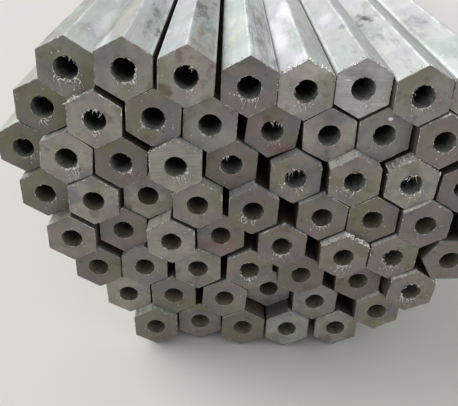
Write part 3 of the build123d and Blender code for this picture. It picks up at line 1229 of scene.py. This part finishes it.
def swarf_seedbed(settings):
    """The patches that crumbs stick to, with how many and how coarse they are."""
    points, faces, crumbs, coarse = [], [], [], []
    chance = random.Random(settings.seed + 1)
    for corners, amount in (*ledge_patches(), *face_patches(chance)):
        a, b, c = (Vector(corner) for corner in corners[:3])
        area = (b - a).cross(c - b).length
        first = len(points)
        points += corners
        faces.append([first, first + 1, first + 2, first + 3])
        crumbs += [amount * settings.crumbs_per_step / area] * 4
        coarse += [1 + amount / 60] * 4
    return seedbed("swarf", points, (), faces, crumbs=crumbs, coarse=coarse)


# Settings, operators and panel


class PipeSettings(PropertyGroup):
    drawn_steel: FloatVectorProperty(
        name="Drawn steel",
        description="Colour of the long faces",
        default=colour(196, 199, 197)[:3],
        subtype="COLOR",
    )
    fresh_steel: FloatVectorProperty(
        name="Fresh steel",
        description="Colour of burrs, chips and swarf",
        default=colour(246, 245, 241)[:3],
        subtype="COLOR",
    )
    strap_colour: FloatVectorProperty(
        name="Strap",
        description="Colour of the strapping",
        default=colour(58, 62, 70)[:3],
        subtype="COLOR",
    )
    seal_colour: FloatVectorProperty(
        name="Seal",
        description="Colour of the strap seals",
        default=colour(160, 162, 164)[:3],
        subtype="COLOR",
    )


class BurrSettings(PropertyGroup):
    lip_thickness: FloatProperty(
        name="Lip thickness",
        description="Radius of the ragged lip round a bore where it is thickest",
        default=0.00046,
        unit="LENGTH",
        precision=5,
    )
    teeth: FloatProperty(
        name="Teeth",
        description="How far a lip's teeth reach into the bore",
        default=0.0013,
        unit="LENGTH",
        precision=5,
    )
    edge_thickness: FloatProperty(
        name="Edge thickness",
        description="Radius of the saw burr along an outline where it is thickest",
        default=0.00055,
        unit="LENGTH",
        precision=5,
    )
    curl_thickness: FloatProperty(
        name="Curl thickness",
        description="Radius of a curled burr at its root",
        default=0.00034,
        unit="LENGTH",
        precision=5,
    )
    crumb_size: FloatProperty(
        name="Crumb size",
        description="Radius of a crumb of swarf before it is stretched",
        default=0.0006,
        unit="LENGTH",
        precision=5,
    )
    burrs_in_tuft: IntProperty(
        name="Burrs in a tuft",
        description="Curled burrs at each place on a rim",
        default=7,
        min=1,
    )
    crumbs_per_step: FloatProperty(
        name="Crumbs",
        description="Crumbs on a ledge for each step of its amount",
        default=2.0,
        min=0.0,
    )
    seed: IntProperty(name="Seed", description="Start of the random burrs", default=4)


# The picture's width and the camera's focal length, in pixels
PICTURE_WIDTH = 458
FOCAL_LENGTH = 528.5


class StageSettings(PropertyGroup):
    camera_place: FloatVectorProperty(
        name="Camera",
        description="Where the camera stands",
        default=(-0.035, -1.8285, 0.3617),
        subtype="TRANSLATION",
        unit="LENGTH",
    )
    camera_yaw: FloatProperty(
        name="Yaw",
        description="Turn of the camera to the right of the pipes",
        default=math.radians(1.54),
        subtype="ANGLE",
    )
    camera_pitch: FloatProperty(
        name="Pitch",
        description="How far the camera looks down",
        default=math.radians(33.23),
        subtype="ANGLE",
    )
    camera_roll: FloatProperty(
        name="Roll",
        description="How far the camera is rolled",
        default=math.radians(-2.87),
        subtype="ANGLE",
    )
    focal_share: FloatProperty(
        name="Focal length",
        description="Focal length as a share of the picture's width",
        default=FOCAL_LENGTH / PICTURE_WIDTH,
    )
    floor_colour: FloatVectorProperty(
        name="Floor",
        description="Colour of the floor",
        default=colour(222, 220, 216)[:3],
        subtype="COLOR",
    )
    key_power: FloatProperty(
        name="Key light",
        description="Strength of the soft light from behind and above on the left",
        default=2.3,
        unit="POWER",
    )
    fill_power: FloatProperty(
        name="Fill light",
        description="Strength of the even light all round",
        default=0.56,
    )


class BUNDLE_OT_finish_pipes(Operator):
    """Give each row of pipes its drawn, sawn and bored steel"""

    bl_idname = "bundle.finish_pipes"
    bl_label = "Finish pipes"

    def execute(self, context):
        settings = context.scene.bundle_pipes
        for row in ROWS:
            paint(row, pipe_steel(row, settings))
        return {"FINISHED"}


class BUNDLE_OT_finish_straps(Operator):
    """Give the straps and their seals their steel"""

    bl_idname = "bundle.finish_straps"
    bl_label = "Finish straps"

    def execute(self, context):
        settings = context.scene.bundle_pipes
        strapping, pressed = strap_steel(settings), seal_steel(settings)
        for strap, seal in zip(STRAPS, SEALS):
            paint(strap, strapping)
            paint(seal, pressed)
        return {"FINISHED"}


class BUNDLE_OT_bore_lips(Operator):
    """Raise the ragged lips round the bores"""

    bl_idname = "bundle.bore_lips"
    bl_label = "Bore lips"

    def execute(self, context):
        material = fresh_steel("lip_steel", context.scene.bundle_pipes, DULL_LIP)
        lip_tree(context.scene.bundle_burrs, material).grow(mouth_seedbed())
        return {"FINISHED"}


class BUNDLE_OT_curled_burrs(Operator):
    """Hang the curled burrs on the bores"""

    bl_idname = "bundle.curled_burrs"
    bl_label = "Curled burrs"

    def execute(self, context):
        settings = context.scene.bundle_burrs
        material = fresh_steel("curl_steel", context.scene.bundle_pipes, DULL_BURR)
        curl_tree(settings, material).grow(curl_seedbed(settings))
        return {"FINISHED"}


class BUNDLE_OT_saw_burrs(Operator):
    """Roughen the outlines of the sawn ends"""

    bl_idname = "bundle.saw_burrs"
    bl_label = "Saw burrs"

    def execute(self, context):
        material = fresh_steel("edge_steel", context.scene.bundle_pipes, DULL_BURR)
        edge_tree(context.scene.bundle_burrs, material).grow(outline_seedbed())
        return {"FINISHED"}


class BUNDLE_OT_swarf_crumbs(Operator):
    """Scatter crumbs of swarf on the ledges and the sawn faces"""

    bl_idname = "bundle.swarf_crumbs"
    bl_label = "Swarf crumbs"

    def execute(self, context):
        settings = context.scene.bundle_burrs
        material = fresh_steel("crumb_steel", context.scene.bundle_pipes, DULL_CRUMB)
        crumb_tree(settings, material).grow(swarf_seedbed(settings))
        return {"FINISHED"}


class BUNDLE_OT_stage(Operator):
    """Lay the floor, hang the lights and set up the camera"""

    bl_idname = "bundle.stage"
    bl_label = "Stage"

    def execute(self, context):
        settings = context.scene.bundle_stage
        lay_floor(settings)
        light_scene(context.scene, settings)
        place_camera(context.scene, settings)
        context.scene.view_settings.view_transform = "Standard"
        return {"FINISHED"}


class BUNDLE_PT_panel(Panel):
    bl_label = "Pipe bundle"
    bl_idname = "BUNDLE_PT_panel"
    bl_space_type = "VIEW_3D"
    bl_region_type = "UI"
    bl_category = "Pipes"

    def draw(self, context):
        column = self.layout.column()
        for operator in OPERATORS:
            column.operator(operator.bl_idname)
        for name in GROUPS:
            settings = getattr(context.scene, name)
            for label in settings.__annotations__:
                column.prop(settings, label)


OPERATORS = (
    BUNDLE_OT_finish_pipes,
    BUNDLE_OT_finish_straps,
    BUNDLE_OT_bore_lips,
    BUNDLE_OT_curled_burrs,
    BUNDLE_OT_saw_burrs,
    BUNDLE_OT_swarf_crumbs,
    BUNDLE_OT_stage,
)
GROUPS = {
    "bundle_pipes": PipeSettings,
    "bundle_burrs": BurrSettings,
    "bundle_stage": StageSettings,
}


# How far the floor reaches from the bundle
FLOOR_REACH = 60.0
# The key light comes from the left, from above and from a little behind the front ends
KEY_FROM = Vector((-1.0, 0.35, 0.8))
KEY_SPREAD = math.radians(35)


def paint(node, material):
    materials = frame["nodes"][node].data.materials
    materials.clear()
    materials.append(material)


def lay_floor(settings):
    far = FLOOR_REACH
    corners = [(-far, -far, 0), (far, -far, 0), (far, far, 0), (-far, far, 0)]
    floor = bpy.data.objects.new("floor", seedbed("floor", corners, (), [(0, 1, 2, 3)]))
    bpy.context.scene.collection.objects.link(floor)
    tint = opaque(settings.floor_colour)
    floor.data.materials.append(Finish("floor_paint").surface(base_color=tint, roughness=0.8))


def light_scene(scene, settings):
    world = bpy.data.worlds.new("studio")
    world.use_nodes = True
    scene.world = world
    sky = Graph(world.node_tree)
    sky.tree.nodes.clear()
    rays = ("Is Camera Ray", "Is Glossy Ray", "Is Transmission Ray")
    seen, glossy, clear = (sky.node("ShaderNodeLightPath", out=ray) for ray in rays)
    shown = seen.larger(glossy).larger(clear)
    strength = shown * (1.0 - settings.fill_power) + settings.fill_power
    back = sky.node("ShaderNodeBackground", None, {"Color": (1, 1, 1, 1), "Strength": strength})
    sky.node("ShaderNodeOutputWorld", None, {"Surface": back})
    key = bpy.data.lights.new("key", "SUN")
    key.energy = settings.key_power
    key.angle = KEY_SPREAD
    lamp = bpy.data.objects.new("key", key)
    scene.collection.objects.link(lamp)
    lamp.rotation_euler = KEY_FROM.to_track_quat("Z", "Y").to_euler()


def place_camera(scene, settings):
    camera = bpy.data.cameras.new("camera")
    camera.sensor_fit = "HORIZONTAL"
    camera.lens = settings.focal_share * camera.sensor_width
    camera.clip_start = 0.01
    camera.clip_end = 100
    holder = bpy.data.objects.new("camera", camera)
    scene.collection.objects.link(holder)
    yaw, pitch, roll = settings.camera_yaw, settings.camera_pitch, settings.camera_roll
    level = math.cos(pitch)
    ahead = Vector((math.sin(yaw) * level, math.cos(yaw) * level, -math.sin(pitch)))
    right = Vector((math.cos(yaw), -math.sin(yaw), 0))
    down = ahead.cross(right)
    turned_right = right * math.cos(roll) + down * math.sin(roll)
    turned_down = down * math.cos(roll) - right * math.sin(roll)
    turn = Matrix((turned_right, -turned_down, -ahead)).transposed()
    holder.matrix_world = Matrix.Translation(settings.camera_place) @ turn.to_4x4()
    scene.camera = holder


def register():
    for group in GROUPS.values():
        bpy.utils.register_class(group)
    for operator in OPERATORS:
        bpy.utils.register_class(operator)
    bpy.utils.register_class(BUNDLE_PT_panel)
    for name, group in GROUPS.items():
        setattr(bpy.types.Scene, name, PointerProperty(type=group))


def unregister():
    for name in GROUPS:
        delattr(bpy.types.Scene, name)
    bpy.utils.unregister_class(BUNDLE_PT_panel)
    for operator in reversed(OPERATORS):
        bpy.utils.unregister_class(operator)
    for group in reversed(GROUPS.values()):
        bpy.utils.unregister_class(group)


def main():
    register()
    for operator in OPERATORS:
        category, name = operator.bl_idname.split(".")
        getattr(getattr(bpy.ops, category), name)()


if __name__ == "__main__":
    main()
